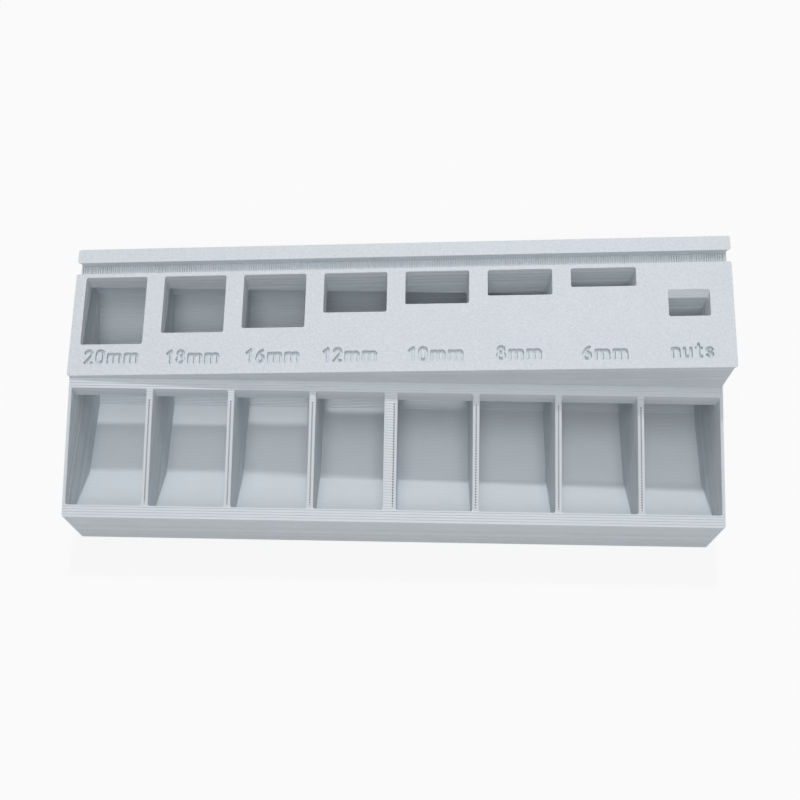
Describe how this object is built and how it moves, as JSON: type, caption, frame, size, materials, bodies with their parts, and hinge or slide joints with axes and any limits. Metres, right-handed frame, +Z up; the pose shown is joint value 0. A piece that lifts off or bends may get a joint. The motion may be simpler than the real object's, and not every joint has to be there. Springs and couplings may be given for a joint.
{
  "type": "screw sorting tray",
  "caption": "Printed screw sorter: a sloping plate with a guide groove and windows of falling size drops screws by length into a row of open-fronted bins.",
  "frame": {"origin": "centre of the base, on the surface that the tray stands on", "axes": "+X along the row of bins towards the nut bin, +Y from the open fronts to the rear wall, +Z up"},
  "size_m": [0.177, 0.072, 0.0475],
  "materials": {
    "tray_print": "light cool grey filament print, matte, fine level layer lines",
    "head_print": "light cool grey filament print, matte, fine speckle on the plate from a textured bed"
  },
  "bodies": {
    "tray": {"bin_tray": "tray_print"},
    "head": {"sorting_head": "head_print"}
  },
  "joints": [
    {"name": "head_lift", "type": "slide", "parent": "tray", "child": "head", "axis": [0, 0, 1], "range_m": [0, 0.03]}
  ]
}
